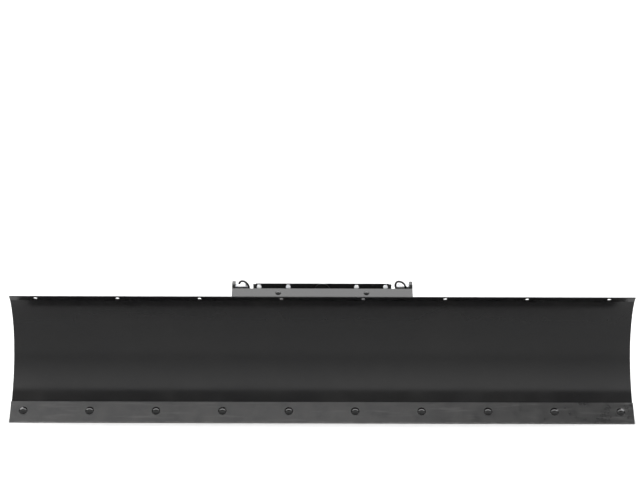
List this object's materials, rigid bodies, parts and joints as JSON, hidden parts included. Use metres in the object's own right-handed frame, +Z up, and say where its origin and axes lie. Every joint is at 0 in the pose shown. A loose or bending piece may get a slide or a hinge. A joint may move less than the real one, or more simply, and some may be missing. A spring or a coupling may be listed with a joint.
{
  "type": "atv plow blade",
  "caption": "Curved steel snow plow blade with bolted cutting edge, spring trip frame, angling swivel and adjustable skid shoes.",
  "frame": {"origin": "bottom centre of the whole assembly, on the ground", "axes": "+X to the right seen from the front, along the blade; +Y to the rear, towards the vehicle; +Z up; the blade's hollow faces -Y"},
  "size_m": [1.829, 0.452, 0.4095],
  "materials": {
    "black_powder_coat": "satin black powder coat on steel",
    "edge_steel": "thin dark coat on carbon steel, lightly scuffed",
    "black_oxide": "black oxide, slightly glossy",
    "zinc_plate": "bright zinc plate",
    "bright_shaft": "drawn steel",
    "bronze": "oil-filled bronze",
    "bumper_rubber": "matt black rubber",
    "spring_wire": "black coated spring steel",
    "handle_grip": "red plastic dipped handle"
  },
  "bodies": {
    "blade": {"moldboard": "black_powder_coat", "wear_bar": "edge_steel", "wear_bar_bolts": "black_oxide", "wear_bar_washers": "zinc_plate", "wear_bar_nuts": "zinc_plate", "lower_backing_bar": "black_powder_coat", "stiffener_tube": "black_powder_coat", "top_angle": "black_powder_coat", "spring_plate": "black_powder_coat", "spring_plate_bolts": "black_oxide", "stop_bumpers": "bumper_rubber", "bumper_bolts": "zinc_plate", "upper_spring_bolts": "zinc_plate", "trip_shaft": "bright_shaft", "shaft_washers": "zinc_plate", "shaft_nuts": "zinc_plate", "shoe_sockets": "black_powder_coat", "upper_spacers": "zinc_plate", "end_rib_left": "black_powder_coat", "shoe_rib_left": "black_powder_coat", "centre_rib_left": "black_powder_coat", "end_rib_right": "black_powder_coat", "shoe_rib_right": "black_powder_coat", "centre_rib_right": "black_powder_coat"},
    "trip_frame": {"trip_pivot_tube": "black_powder_coat", "pivot_bushings": "bronze", "crossbar": "black_powder_coat", "crossbar_doubler": "black_powder_coat", "crossbar_bolts": "zinc_plate", "lift_lug": "black_powder_coat", "kingpin_upper_plate": "black_powder_coat", "sector_plate": "black_powder_coat", "kingpin": "bright_shaft", "kingpin_washer": "zinc_plate", "kingpin_nut": "zinc_plate", "cotter": "zinc_plate", "lower_spring_bolts": "zinc_plate", "trip_arm_left": "black_powder_coat", "trip_spring_left": "spring_wire", "trip_arm_right": "black_powder_coat", "trip_spring_right": "spring_wire"},
    "push_head": {"swivel_barrel": "black_powder_coat", "barrel_bushings": "bronze", "grease_fitting": "zinc_plate", "head_neck": "black_powder_coat", "head_beam": "black_powder_coat", "beam_caps": "black_powder_coat", "plunger_housing": "black_powder_coat", "housing_cap": "black_powder_coat", "push_clevis_left": "black_powder_coat", "push_clevis_right": "black_powder_coat", "lock_spring": "spring_wire"},
    "lock_plunger": {"lock_pin": "bright_shaft", "pull_handle": "handle_grip"},
    "shoe_left": {"skid_shoe_left": "black_powder_coat", "lower_spacers_left": "zinc_plate", "lynch_pin_left": "zinc_plate"},
    "shoe_right": {"skid_shoe_right": "black_powder_coat", "lower_spacers_right": "zinc_plate", "lynch_pin_right": "zinc_plate"}
  },
  "joints": [
    {"name": "trip_hinge", "type": "hinge", "parent": "blade", "child": "trip_frame", "pos_m": [0, -0.076, 0.085], "axis": [-1, 0, 0], "range_deg": [0, 25], "stiffness_Nm_per_rad": 150, "springref_deg": -34.38, "deforming": ["trip_spring_left", "trip_spring_right"]},
    {"name": "angle_swivel", "type": "hinge", "parent": "trip_frame", "child": "push_head", "pos_m": [0, -0.001, 0.2], "axis": [0, 0, 1], "range_deg": [-30, 30]},
    {"name": "angle_lock", "type": "slide", "parent": "push_head", "child": "lock_plunger", "axis": [0, 0, 1], "range_m": [-0.024, 0], "deforming": ["lock_spring"]},
    {"name": "shoe_slide_left", "type": "slide", "parent": "blade", "child": "shoe_left", "axis": [0, 0, 1], "range_m": [-0.025, 0]},
    {"name": "shoe_slide_right", "type": "slide", "parent": "blade", "child": "shoe_right", "axis": [0, 0, 1], "range_m": [-0.025, 0]}
  ]
}
